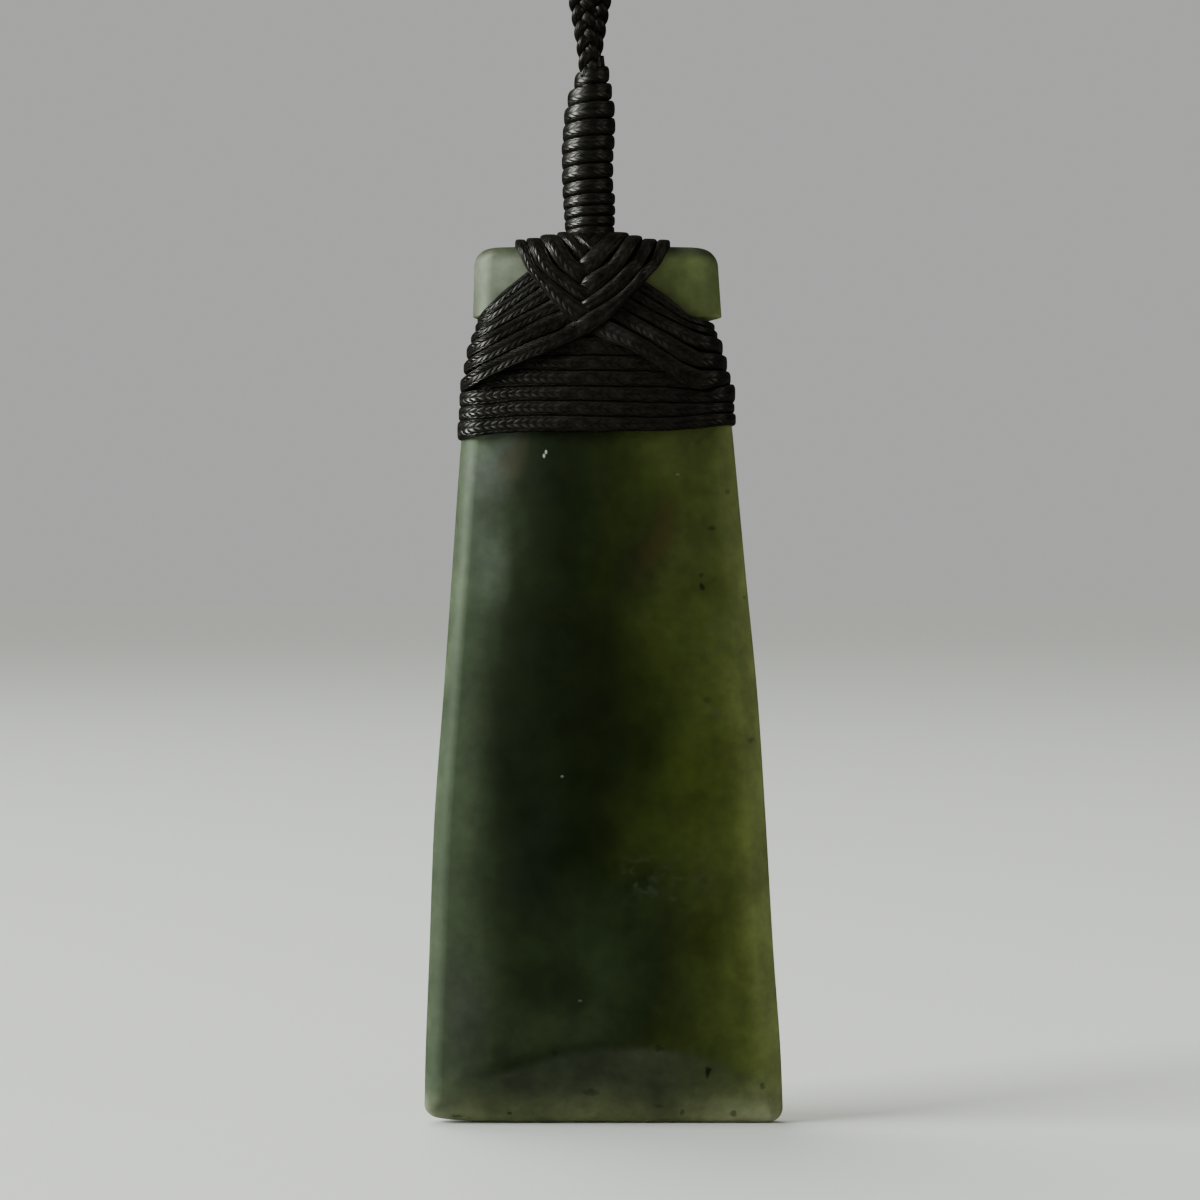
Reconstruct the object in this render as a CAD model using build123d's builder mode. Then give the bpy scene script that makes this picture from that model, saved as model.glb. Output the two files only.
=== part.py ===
from build123d import *
from collections import namedtuple
from math import pi, radians, sqrt, tan
import os

# A greenstone adze-blade pendant that hangs in a loop of plaited cord. All sizes are in millimetres.
# The origin is the underside of the nape knot, where the loop hangs. +X is to the viewer's right, the
# viewer looks along +Y, and +Z is up. The shank and the loop's middle lie on the Z axis.

# Blade: a tapered slab with domed faces, whose foot is ground to a blunt edge from both sides
blade_length = 55.2
foot_width = 22.6
blade_thickness = 6.2
rim_thickness = 3.1
side_round = 0.7
head_round = 0.6
foot_edge = 1.2
foot_corner = 1.0
corner_zone = 4.0
side_slack = 0.02
bevel_angle = 28.0
cut_margin = 1.0

# Each row is a level cross-section of the blade: how far down it lies as a share of the blade's length,
# its reach left and right of the hanging line as shares of the foot's width, and its thickness in the
# middle and at the rim as shares of the two thicknesses.
Section = namedtuple("Section", "down left right middle rim")
blade_sections = [
    Section(down=0.000, left=0.321, right=0.358, middle=0.68, rim=0.80),
    Section(down=0.217, left=0.358, right=0.401, middle=0.84, rim=0.88),
    Section(down=0.643, left=0.433, right=0.489, middle=1.00, rim=1.00),
    Section(down=1.000, left=0.461, right=0.539, middle=0.97, rim=0.90),
]

# Side notches: a deep step under the shoulder holds two layers of cord, a shallow one below it holds one.
# How far down each step ends differs left and right.
shoulder_down = 4.45
deep_notch = 1.66
shallow_notch = 0.68
Notch = namedtuple("Notch", "side deep_down shallow_down")
notches = [
    Notch(side=-1, deep_down=9.05, shallow_down=11.95),
    Notch(side=1, deep_down=8.72, shallow_down=11.4),
]

# Lashing cord: a waxed braid, pulled flat to 0.95 by 0.66, here as a round of nearly the same section
strand_diameter = 0.76
strand_gap = 0.03
edge_bend = 0.8
dome_slack = 0.08
lift_ahead = 1.5
wrap_stations = (0.15, 0.38, 0.62, 0.85)

# Waist wraps, lowest first: how far down each one's middle line lies at its left and right ends, and
# whether it lies in the deep step of the notches
Wrap = namedtuple("Wrap", "left_down right_down deep")
wraps = [
    Wrap(left_down=11.46, right_down=10.90, deep=False),
    Wrap(left_down=10.50, right_down=10.08, deep=False),
    Wrap(left_down=9.60, right_down=9.27, deep=False),
    Wrap(left_down=8.42, right_down=8.16, deep=True),
    Wrap(left_down=7.46, right_down=7.22, deep=True),
    Wrap(left_down=6.50, right_down=6.28, deep=True),
]

# Crossed strands. A row is a station of the outermost strand on the blade's face, and the step from there
# to the next strand inward. lift is 1 where the strand crosses over the other family, 0 where it lies
# under it, and None where it lies on the wraps or on bare stone, whichever is beneath it.
Station = namedtuple("Station", "x down step_x step_down lift")
strands_each_way = 5
falling_left_route = [
    Station(x=4.10, down=0.88, step_x=-1.30, step_down=0.00, lift=1),
    Station(x=1.04, down=3.85, step_x=-0.80, step_down=-0.55, lift=1),
    Station(x=-1.80, down=5.71, step_x=-0.50, step_down=-0.75, lift=1),
    Station(x=-5.40, down=7.35, step_x=-0.05, step_down=-0.90, lift=None),
]
falling_right_route = [
    Station(x=-3.82, down=0.88, step_x=1.28, step_down=-0.06, lift=0),
    Station(x=0.55, down=4.80, step_x=0.82, step_down=-0.76, lift=0),
    Station(x=2.56, down=5.93, step_x=0.50, step_down=-0.80, lift=None),
    Station(x=5.70, down=7.80, step_x=0.07, step_down=-0.90, lift=None),
]

# Each family: the side of its notch, where the outermost strand crosses the head's top edge and turns
# round the notch, the steps inward, and how many inner strands cross the top edge in the upper layer
Family = namedtuple("Family", "name side top_x top_step notch_down notch_step raised route")
families = [
    Family("falling_right", 1, -4.35, 1.13, 8.20, -0.82, 0, falling_right_route),
    Family("falling_left", -1, 4.73, -0.925, 8.66, -0.94, 3, falling_left_route),
]

# Shank: the gathered strands and the cord wound round them
core_diameter = 1.7
whipping_diameter = 3.3
whipping_turns = 12
whipping_pitch = 0.88
whipping_groove = 0.2
piece_gap = 0.05

# Neck loop: a plait, drawn in at its top by a knot. loop_drop and loop_width are those of its middle line.
neck_cord_diameter = 1.6
cord_seat = 0.15
run_share = 0.45
loop_drop = 271.9
loop_width = 119.0
knot_diameter = 4.2
knot_length = 12.4
knot_round = 0.9

# Middle line of the loop's right side, from the shank's top up to the nape knot: right as a share of half
# the loop's width, back as a share of the two plaits' half spacing at the shank, and up as a share of the
# loop's drop. The left side is the same route turned half round the Z axis.
Bend = namedtuple("Bend", "right back up")
neck_route = [
    Bend(right=0.001, back=1.00, up=-1.0000),
    Bend(right=0.013, back=0.98, up=-0.9825),
    Bend(right=0.049, back=0.73, up=-0.9490),
    Bend(right=0.134, back=0.30, up=-0.8810),
    Bend(right=0.311, back=0.06, up=-0.7450),
    Bend(right=0.580, back=0.00, up=-0.5530),
    Bend(right=0.849, back=0.00, up=-0.3680),
    Bend(right=1.000, back=0.00, up=-0.2280),
    Bend(right=0.966, back=0.00, up=-0.1210),
    Bend(right=0.723, back=0.00, up=-0.0405),
    Bend(right=0.361, back=0.00, up=0.0022),
]

# Places worked out from the sizes above
strand_radius = strand_diameter / 2
strand_pitch = strand_diameter + strand_gap
strand_clear = strand_radius + strand_gap
layer_step = strand_pitch + strand_gap
wraps_crown = wraps[-1].right_down - lift_ahead * strand_pitch
shank_length = whipping_turns * whipping_pitch
shank_top = -loop_drop - cord_seat
shank_base = shank_top - shank_length
head_z = shank_base - piece_gap - strand_radius - layer_step - strand_clear
foot_z = head_z - blade_length
knot_z = knot_diameter / 2
plait_offset = (neck_cord_diameter + piece_gap) / 2

# A strand turns an edge on an arc of edge_bend. The corner of its route stands this far off the edge both
# ways, so that the arc passes the edge at the strand's own clearance.
edge_clear = (strand_clear + edge_bend * (sqrt(2) - 1)) / sqrt(2)

os.makedirs("parts", exist_ok=True)


def finish(builder, name):
    """Label a finished piece and write it under its own name."""
    builder.part.label = name
    export_step(builder.part, f"parts/{name}.step")
    print(name, round(builder.part.volume, 2), "mm3")


def blade_at(down):
    """The blade's left reach, right reach, half thickness and half rim, this far below the head's top."""
    share = down / blade_length
    upper, lower = blade_sections[0], blade_sections[1]
    for row, next_row in zip(blade_sections, blade_sections[1:]):
        if share >= row.down:
            upper, lower = row, next_row
    mix = (share - upper.down) / (lower.down - upper.down)
    _, left, right, middle, rim = [a + mix * (b - a) for a, b in zip(upper, lower)]
    return (
        left * foot_width,
        right * foot_width,
        middle * blade_thickness / 2,
        rim * rim_thickness / 2,
    )


def face_depth(x, down):
    """Half the blade's thickness at a point of its domed face, from the arc through the face's section."""
    left, right, middle, rim = blade_at(down)
    half_chord = (left + right) / 2
    rise = middle - rim
    radius = (half_chord**2 + rise**2) / (2 * rise)
    from_middle = x - (right - left) / 2
    return middle - radius + sqrt(radius**2 - from_middle**2)


def notch_floor(side, down, depth):
    """Where a notch's floor lies, left or right of the hanging line."""
    left, right, _, _ = blade_at(down)
    return side * ((right if side > 0 else left) - depth)


def bend_radii(points, corners, closed):
    """The largest arc that fits each point of a route, and no more than its own limit at a corner."""
    vectors = [Vector(*point) for point in points]
    inner = range(len(points)) if closed else range(1, len(points) - 1)
    radii = []
    for i in inner:
        before = vectors[i] - vectors[i - 1]
        after = vectors[(i + 1) % len(points)] - vectors[i]
        half_turn = radians(before.get_angle(after)) / 2
        largest = run_share * min(before.length, after.length) / tan(half_turn)
        radii.append(min(largest, corners[i]) if i in corners else largest)
    return radii


def middle_line(points, corners, closed):
    """Straight runs joined by tangent arcs, as one wire."""
    with BuildLine() as line:
        FilletPolyline(*points, radius=bend_radii(points, corners, closed), close=closed)
    return line.wires()[0]


def tube(route, diameter):
    """A round strand swept along its middle line."""
    with BuildPart() as strand:
        with BuildSketch(Plane(origin=route @ 0, z_dir=route % 0)):
            Circle(diameter / 2)
        sweep(path=route)
    return strand


def corner_bend(layer):
    """The bend of a strand's middle line round an edge, with this many layers of cord under it."""
    return edge_bend + layer * layer_step


# Greenstone blade, ground from one piece: the level sections carried down from the head to the foot,
# both bevels ground off together, then the head, the foot's corners and the notches
with BuildPart() as jade_blade:
    for row in blade_sections:
        left, right, middle, rim = blade_at(row.down * blade_length)
        centre = (right - left) / 2
        with BuildSketch(Plane.XY.offset(head_z - row.down * blade_length)) as level:
            with BuildLine():
                front = ThreePointArc((-left, -rim), (centre, -middle), (right, -rim))
                Line(front @ 1, (right, rim))
                back = ThreePointArc((right, rim), (centre, middle), (-left, rim))
                Line(back @ 1, front @ 0)
            make_face()
            fillet(level.vertices(), side_round)
    loft(ruled=True)
    bevel_depth = blade_thickness / 2 + cut_margin
    bevel_top = foot_z + (bevel_depth - foot_edge / 2) / tan(radians(bevel_angle))
    with BuildSketch(Plane.YZ) as side_view:
        with BuildLine():
            Polyline(
                (foot_edge / 2, foot_z),
                (bevel_depth, bevel_top),
                (bevel_depth, head_z),
                (-bevel_depth, head_z),
                (-bevel_depth, bevel_top),
                (-foot_edge / 2, foot_z),
                close=True,
            )
        make_face()
    extrude(amount=foot_width, both=True, mode=Mode.INTERSECT)
    fillet(jade_blade.faces().sort_by(Axis.Z)[-1].edges(), head_round)
    foot_left, foot_right, _, _ = blade_at(blade_length)
    left_above, right_above, _, _ = blade_at(blade_length - corner_zone)
    with BuildSketch(Plane.XZ) as front_view:
        with BuildLine():
            Polyline(
                (-foot_left - side_slack, foot_z),
                (foot_right + side_slack, foot_z),
                (right_above + side_slack, foot_z + corner_zone),
                (foot_width, head_z),
                (-foot_width, head_z),
                (-left_above - side_slack, foot_z + corner_zone),
                close=True,
            )
        make_face()
        fillet(front_view.vertices().sort_by(Axis.Y)[:2], foot_corner)
    extrude(amount=blade_thickness, both=True, mode=Mode.INTERSECT)
    for notch in notches:
        steps = (
            (shoulder_down, deep_notch),
            (notch.deep_down, deep_notch),
            (notch.deep_down, shallow_notch),
            (notch.shallow_down, shallow_notch),
        )
        outside = notch.side * foot_width
        with BuildSketch(Plane.XZ):
            with BuildLine():
                Polyline(
                    (outside, head_z - shoulder_down),
                    *[(notch_floor(notch.side, down, depth), head_z - down) for down, depth in steps],
                    (outside, head_z - notch.shallow_down - shallow_notch),
                    close=True,
                )
            make_face()
        extrude(amount=blade_thickness, both=True, mode=Mode.SUBTRACT)
finish(jade_blade, "jade_blade")

# Waist wraps: closed turns of cord that follow the domed faces and turn round the notches' edges
for number, wrap in enumerate(wraps, start=1):
    depth = deep_notch if wrap.deep else shallow_notch
    left_floor = notch_floor(-1, wrap.left_down, depth)
    right_floor = notch_floor(1, wrap.right_down, depth)
    front = [(left_floor - edge_clear, -face_depth(left_floor, wrap.left_down) - edge_clear, wrap.left_down)]
    for share in wrap_stations:
        x = left_floor + share * (right_floor - left_floor)
        down = wrap.left_down + share * (wrap.right_down - wrap.left_down)
        front.append((x, -face_depth(x, down) - strand_clear - dome_slack, down))
    front.append(
        (right_floor + edge_clear, -face_depth(right_floor, wrap.right_down) - edge_clear, wrap.right_down)
    )
    ring = [(x, y, head_z - down) for x, y, down in front]
    ring += [(x, -y, z) for x, y, z in reversed(ring)]
    last = len(front) - 1
    corners = {i: corner_bend(0) for i in (0, last, last + 1, 2 * last + 1)}
    waist_wrap = tube(middle_line(ring, corners, closed=True), strand_diameter)
    finish(waist_wrap, f"waist_wrap_{number}")

# Crossed strands: each goes over the head's top edge, down a face, round its notch and up the other face.
# Those that fall left lie over those that fall right, and both lie over the upper three wraps.
for family in families:
    for number in range(strands_each_way):
        top_x = family.top_x + number * family.top_step
        top_layer = 1 if number >= strands_each_way - family.raised else 0
        over_head = strand_clear + top_layer * layer_step
        route = [(top_x, -face_depth(top_x, 0) - over_head, head_z + over_head)]
        notch_down = family.notch_down + number * family.notch_step
        notch_layer = 1 if notch_down > wraps_crown else 0
        for station in family.route:
            x = station.x + number * station.step_x
            down = station.down + number * station.step_down
            layer = station.lift
            if layer is None:
                layer = notch_layer if station is family.route[-1] else (down > wraps_crown)
            clear = strand_clear + dome_slack + layer * layer_step
            route.append((x, -face_depth(x, down) - clear, head_z - down))
        floor = notch_floor(family.side, notch_down, deep_notch)
        edge = edge_clear + notch_layer * layer_step
        edge_depth = face_depth(floor, notch_down) + edge
        route.append((floor + family.side * edge, -edge_depth, head_z - notch_down))
        last = len(route) - 1
        ring = route + [(x, -y, z) for x, y, z in reversed(route)]
        corners = {0: corner_bend(top_layer), 2 * last + 1: corner_bend(top_layer)}
        corners.update({last: corner_bend(notch_layer), last + 1: corner_bend(notch_layer)})
        crossed_strand = tube(middle_line(ring, corners, closed=True), strand_diameter)
        finish(crossed_strand, f"{family.name}_{number + 1}")

# Shank core: the gathered strands, standing on the ones that cross the head's top edge
with BuildPart() as shank_core:
    with BuildSketch(Plane.XY.offset(shank_base)):
        Circle(core_diameter / 2)
    extrude(amount=shank_length)
finish(shank_core, "shank_core")

# Shank whipping: one strand wound round the core, each turn a rounded ridge
bore_radius = core_diameter / 2 + piece_gap
with BuildPart() as shank_whipping:
    with BuildSketch(Plane.XZ):
        with BuildLine():
            foot = (whipping_diameter / 2 - whipping_groove, shank_base)
            end = foot
            for turn in range(whipping_turns):
                crest = (whipping_diameter / 2, shank_base + (turn + 0.5) * whipping_pitch)
                next_end = (foot[0], shank_base + (turn + 1) * whipping_pitch)
                ThreePointArc(end, crest, next_end)
                end = next_end
            Polyline(end, (bore_radius, end[1]), (bore_radius, shank_base), foot)
        make_face()
    revolve(axis=Axis.Z)
finish(shank_whipping, "shank_whipping")

# Neck cord: the two sides of one plaited loop, from the shank's top to the ends of the nape knot
bends = [
    (bend.right * loop_width / 2, bend.back * plait_offset, bend.up * loop_drop) for bend in neck_route
]
knot_end = (knot_length / 2 + cord_seat, 0.0, knot_z)
for name, turn in (("neck_cord_right", 1), ("neck_cord_left", -1)):
    points = [(turn * x, turn * y, z) for x, y, z in [*bends, knot_end]]
    route = middle_line(points, {}, closed=False)
    neck_cord = tube(route, neck_cord_diameter)
    section_times_length = route.length * pi * neck_cord_diameter**2 / 4
    print("length", round(route.length, 1), "volume share", neck_cord.part.volume / section_times_length)
    print("radii", [round(radius, 1) for radius in bend_radii(points, {}, closed=False)])
    finish(neck_cord, name)

# Nape knot: a plain barrel, lying along X over the place where the loop hangs
with BuildPart() as nape_knot:
    with BuildSketch(Plane.YZ.offset(-knot_length / 2)):
        with Locations((0, knot_z)):
            Circle(knot_diameter / 2)
    extrude(amount=knot_length)
    fillet(nape_knot.edges().filter_by(GeomType.CIRCLE), knot_round)
finish(nape_knot, "nape_knot")
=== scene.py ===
from collections import namedtuple
from math import pi, radians, tan

import bpy
import numpy as np
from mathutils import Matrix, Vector


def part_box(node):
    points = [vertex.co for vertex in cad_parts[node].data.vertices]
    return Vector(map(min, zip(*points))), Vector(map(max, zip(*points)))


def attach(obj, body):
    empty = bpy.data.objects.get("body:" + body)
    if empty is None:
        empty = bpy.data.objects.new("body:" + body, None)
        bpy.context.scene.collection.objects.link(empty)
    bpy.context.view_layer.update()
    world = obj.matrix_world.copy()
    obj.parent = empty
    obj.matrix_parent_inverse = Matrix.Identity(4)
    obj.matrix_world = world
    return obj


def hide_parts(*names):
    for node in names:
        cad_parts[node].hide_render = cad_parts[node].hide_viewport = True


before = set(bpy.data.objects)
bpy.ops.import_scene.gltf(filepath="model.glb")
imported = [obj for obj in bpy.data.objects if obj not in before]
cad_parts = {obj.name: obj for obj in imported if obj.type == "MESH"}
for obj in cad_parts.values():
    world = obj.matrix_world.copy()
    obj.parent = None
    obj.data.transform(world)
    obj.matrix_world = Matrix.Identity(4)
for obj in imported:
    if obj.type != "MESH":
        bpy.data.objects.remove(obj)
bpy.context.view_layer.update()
mm = 0.001

# Stone: one slab of dark nephrite, sawn, ground to a taper with domed faces, bevelled at the foot and hand
# polished to a satin. Its outline is read off the photo, where one pixel at the stone is 1/15.85 mm; down is
# counted from the head's top edge, and across from the hanging line through the shank.
pixel = mm / 15.85
head_row, hanging_column, picture_middle = 248.0, 589.5, 600.0
camera_distance, outline_depth = 200 * mm, 0.6 * mm
head_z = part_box("jade_blade")[1].z
foot_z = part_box("jade_blade")[0].z
blade_length = head_z - foot_z

# Each row is a level of the stone: its row in the photo, the columns of its left and right side, and its
# half thickness in the middle and at the sides.
stone_levels = np.array([
    (248, 474.3, 717.2, 2.11, 1.24), (320, 472.4, 722.2, 2.32, 1.29), (440, 461.0, 733.6, 2.60, 1.36),
    (575, 451.5, 746.1, 2.80, 1.44), (697, 443.0, 757.9, 2.94, 1.50), (810, 434.6, 765.4, 3.10, 1.55),
    (959, 428.8, 774.2, 3.07, 1.50), (1050, 425.3, 780.8, 3.04, 1.44), (1123, 423.6, 783.9, 3.00, 1.40),
]) * (1, 1, 1, mm, mm)
side_round, side_share, thinnest_side = 1.15 * mm, 0.92, 0.05 * mm
head_corner, head_round, foot_corner, foot_round = 1.10 * mm, 0.60 * mm, 0.95 * mm, 0.42 * mm
foot_edge, bevel_slope, bevel_twist, bevel_soft = 1.25 * mm, tan(radians(25.5)), 0.22, 0.55 * mm
crest_start, crest_end = -0.10 * mm, 0.22 * mm
left_wear, wear_reach, wear_height = 0.28 * mm, 1.5 * mm, 2.0 * mm
shoulder_down, notch_soft = 4.45 * mm, 0.30 * mm
first_depth, depth_rounds = 3 * mm, 4
left_notch = ((9.05 * mm, 0.95 * mm), (11.68 * mm, 0.65 * mm))
right_notch = ((8.72 * mm, 0.95 * mm), (10.88 * mm, 0.65 * mm))

# The mesh: points along a face, a side and a corner's arc, the body's rings in stretches, closest at the
# notches' shoulder, and the shares of their size at which rings close over the head and the foot.
face_points, side_points, arc_points, corner_rings = 46, 5, 6, 12
Stretch = namedtuple("Stretch", "start end gap")
body_stretches = [
    Stretch(head_corner + 0.20 * mm, 4.10 * mm, 0.30 * mm), Stretch(4.15 * mm, 4.80 * mm, 0.06 * mm),
    Stretch(4.90 * mm, blade_length - foot_corner, 0.24 * mm),
]
closing = (0.12, 0.30, 0.55, 0.78, 0.93)


def smooth_through(at, stations, values):
    """A curve through the values at their stations: cubics that meet with the slope of the parabola through
    each station and its two neighbours."""
    stations, values = np.asarray(stations, float), np.asarray(values, float)
    slopes = np.gradient(values, stations, axis=0)
    i = np.clip(np.searchsorted(stations, at, side="right") - 1, 0, len(stations) - 2)
    step = stations[i + 1] - stations[i]
    t = (np.asarray(at) - stations[i]) / step
    if values.ndim > 1:
        step, t = step[..., None], t[..., None]
    return (
        (2 * t**3 - 3 * t**2 + 1) * values[i] + (t**3 - 2 * t**2 + t) * step * slopes[i]
        + (3 * t**2 - 2 * t**3) * values[i + 1] + (t**3 - t**2) * step * slopes[i + 1]
    )


def ease(value, start, end):
    """0 before start and 1 after end, with a smooth S between them."""
    t = np.clip((value - start) / (end - start), 0, 1)
    return t * t * (3 - 2 * t)


def place_of(column, row, depth=0.0):
    """Across and height in the frame, in metres, of a pixel of the photo. A point that is nearer than the
    stone's outline by depth shows further from the picture's middle by its share of the camera's distance,
    so it is drawn back towards the middle by that share."""
    share = 1 - depth / camera_distance
    across = picture_middle - hanging_column + (np.asarray(column) - picture_middle) * share
    down = picture_middle - head_row + (np.asarray(row) - picture_middle) * share
    return across * pixel, head_z - down * pixel


def stone_reach(down):
    """The stone's left and right side, middle half thickness and side half thickness at a depth below its
    top edge, before the notches are cut."""
    level = smooth_through(head_row + down / pixel, stone_levels[:, 0], stone_levels[:, 1:])
    left, right, middle, rim = np.moveaxis(level, -1, 0)
    return place_of(left, 0)[0], place_of(right, 0)[0], middle, rim


def face_forms(x, down):
    """Half the stone's thickness by each of the two forms that its face is ground to: the dome, a parabola
    from the sides to the middle, and the bevel, a slope to the foot's edge that is steeper on the left."""
    left, right, middle, rim = stone_reach(down)
    from_middle = (x - (left + right) / 2) / ((right - left) / 2)
    slope = bevel_slope * np.exp(-bevel_twist * from_middle)
    return rim + (middle - rim) * (1 - from_middle**2), foot_edge / 2 + (blade_length - down) * slope


def face_depth(x, down):
    """Half the stone's thickness at a point of its face: the lesser of its two forms, with the crest between
    them rounded over by a smooth minimum."""
    dome, bevel = face_forms(x, down)
    mix = np.clip(0.5 + 0.5 * (bevel - dome) / bevel_soft, 0, 1)
    return bevel + (dome - bevel) * mix - bevel_soft * mix * (1 - mix)


def face_point(columns, rows, over=0.0):
    """The point of the stone's front face, or so far over it, that a pixel of the photo shows. Its place
    follows from its depth and its depth from its place, and a few rounds settle both."""
    depth = first_depth
    for _ in range(depth_rounds):
        x, z = place_of(columns, rows, depth)
        depth = face_depth(x, np.maximum(head_z - z, 0)) + over
    return x, -depth, z


def notch_depth(down, steps):
    """How far a side notch is cut in: a deep step under the shoulder, then a shallow one, with soft edges."""
    (deep_end, deep), (shallow_end, shallow) = steps
    cut = ease(down, shoulder_down - notch_soft / 2, shoulder_down + notch_soft / 2) * deep
    cut -= ease(down, deep_end - notch_soft, deep_end + notch_soft) * (deep - shallow)
    return cut - ease(down, shallow_end - notch_soft, shallow_end + notch_soft) * shallow


def drawn_in(radius, from_edge):
    """How far a quarter round draws a side in, at a distance from the edge that it rounds."""
    left_over = radius - np.clip(from_edge, 0, radius)
    return radius - np.sqrt(radius**2 - left_over**2)


def stone_rings():
    """Level rings from the head's middle to the foot's, and three values at each of their points: the shares
    of the way across and down, and 1 on the bevel. A ring is a rectangle with round corners whose two long
    sides bulge as face_depth says. At the head and the foot the rings draw in along one quarter circle for
    the front view's corners and a smaller one for the edge, and then they close."""
    quarter = np.linspace(0, pi / 2, corner_rings)
    head_down = head_corner * (1 - np.cos(quarter))
    foot_down = blade_length - foot_corner * (1 - np.sin(quarter))
    body_down = [np.arange(*stretch) for stretch in body_stretches]
    closed = np.zeros(len(closing))
    down = np.concatenate([closed, head_down, *body_down, foot_down, closed + blade_length])[:, None]
    shrink = np.concatenate([closing, np.ones(len(down) - 2 * len(closing)), closing[::-1]])[:, None]
    corner = drawn_in(head_corner, down) + drawn_in(foot_corner, blade_length - down)
    thin = drawn_in(head_round, down) + drawn_in(foot_round, blade_length - down)

    uncut_left, uncut_right, _, _ = (value[:, None] for value in stone_reach(down[:, 0]))
    left = uncut_left + notch_depth(down, left_notch) + corner
    right = uncut_right - notch_depth(down, right_notch) - corner
    centre, half_width = (left + right) / 2, (right - left) / 2
    arc = np.linspace(0, pi / 2, arc_points + 2)[1:-1]
    face, bend, side = np.ones(face_points), np.ones(arc_points), np.ones(side_points)
    half_ring = np.array([
        np.concatenate([np.cos(np.linspace(pi, 0, face_points)), bend, side, bend]),
        np.concatenate([-face, -bend, np.linspace(-1, 1, side_points), bend]),
        np.concatenate([0 * face, np.sin(arc), side, np.cos(arc)]),
        np.concatenate([-face, -np.cos(arc), 0 * side, np.sin(arc)]),
    ])
    flat_x, flat_y, round_x, round_y = np.concatenate([half_ring, -half_ring], axis=1)[:, None, :]
    thickest = np.minimum(face_depth(left[:, 0], down[:, 0]), face_depth(right[:, 0], down[:, 0]))[:, None]
    half_side = np.maximum(thickest - thin, thinnest_side)
    radius = np.minimum(side_round, side_share * half_side)
    x = flat_x * (half_width - radius) + round_x * radius
    y = flat_y * (half_side - radius) + round_y * radius
    swell = (face_depth(centre + x, down + 0 * x) - thin) / half_side
    near_foot = ease(down, blade_length - wear_height, blade_length)
    worn = left_wear * np.exp(-(x + half_width) / wear_reach) * near_foot
    rings = np.stack([centre + x * shrink, y * swell * shrink, head_z - down + worn + 0 * x], axis=-1)
    across = (centre + x * shrink - uncut_left) / (uncut_right - uncut_left)
    dome, bevel = face_forms(centre + x, down + 0 * x)
    return rings, across, down / blade_length + 0 * x, ease(dome - bevel, crest_start, crest_end)


def in_scene(name, data):
    """A new object in the scene."""
    made = bpy.data.objects.new(name, data)
    bpy.context.scene.collection.objects.link(made)
    return made


def skin(name, rings, uv=None, closed_along=False, **weights):
    """Rings of points joined into one closed mesh. Quads join each ring to the next, and a fan to its middle
    closes each end, or the last ring runs on into the first. uv is a pair of grids with one more point
    around than the rings have, and one more ring where the last runs on; each weight is a grid of values
    kept on the points. Faces are turned outwards."""
    m, n, _ = rings.shape
    around = np.arange(n)
    i, j = (grid.ravel() for grid in np.meshgrid(np.arange(m - (not closed_along)), around, indexing="ij"))
    after, beside = (i + 1) % m, (j + 1) % n
    quads = np.stack([i * n + j, i * n + beside, after * n + beside, after * n + j], axis=-1)
    points, fans = rings.reshape(-1, 3), np.zeros((0, 3), int)
    if not closed_along:
        points = np.concatenate([points, rings[[0, -1]].mean(axis=1)])
        last, middle = (m - 1) * n, np.full(n, m * n)
        start = np.stack([np.roll(around, -1), around, middle], axis=-1)
        end = np.stack([last + around, last + np.roll(around, -1), middle + 1], axis=-1)
        fans = np.concatenate([start, end])
    a, b, c, d = (points[quads[:, k]] for k in range(4))
    volume = (np.cross(a, b) * c).sum() + (np.cross(a, c) * d).sum()
    mesh = bpy.data.meshes.new(name)
    corners = np.concatenate([quads.ravel(), fans.ravel()])
    sizes = np.concatenate([np.full(len(quads), 4), np.full(len(fans), 3)])
    mesh.vertices.add(len(points))
    mesh.vertices.foreach_set("co", points.astype(np.float32).ravel())
    mesh.loops.add(len(corners))
    mesh.loops.foreach_set("vertex_index", corners.astype(np.int32))
    mesh.polygons.add(len(sizes))
    mesh.polygons.foreach_set("loop_start", (np.cumsum(sizes) - sizes).astype(np.int32))
    mesh.polygons.foreach_set("use_smooth", np.ones(len(sizes), bool))
    mesh.update(calc_edges=True)
    if uv is not None:
        quad_i = np.stack([i, i, i + 1, i + 1], axis=-1).ravel()
        quad_j = np.stack([j, j + 1, j + 1, j], axis=-1).ravel()
        fan_i, fan_j = np.repeat([0, m - 1], 3 * n), (np.tile(around, 2)[:, None] + [1, 0, 0]).ravel()
        at = tuple(np.concatenate(pair)[: len(corners)] for pair in ((quad_i, fan_i), (quad_j, fan_j)))
        placed = np.stack([grid[at] for grid in uv], axis=-1)
        mesh.uv_layers.new(name="along").data.foreach_set("uv", placed.astype(np.float32).ravel())
    for label, grid in weights.items():
        values = np.asarray(grid, float).ravel()
        spare = len(points) - len(values)
        values = np.concatenate([values, values[:1], values[-1:]][: 1 + spare])
        mesh.attributes.new(label, "FLOAT", "POINT").data.foreach_set("value", values.astype(np.float32))
    if volume < 0:
        mesh.flip_normals()
    return in_scene(name, mesh)


def plugged(tree, node, inputs):
    """A node whose sockets are given values, or joined to the sockets that feed them."""
    for key, value in inputs.items():
        if isinstance(value, bpy.types.NodeSocket):
            tree.links.new(value, node.inputs[key])
        else:
            node.inputs[key].default_value = value
    return node


def add_node(tree, kind, inputs=None, **settings):
    """One shader node, with settings for its properties and inputs for its sockets."""
    made = tree.nodes.new(kind)
    for key, value in settings.items():
        setattr(made, key, value)
    return plugged(tree, made, inputs or {})


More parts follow.
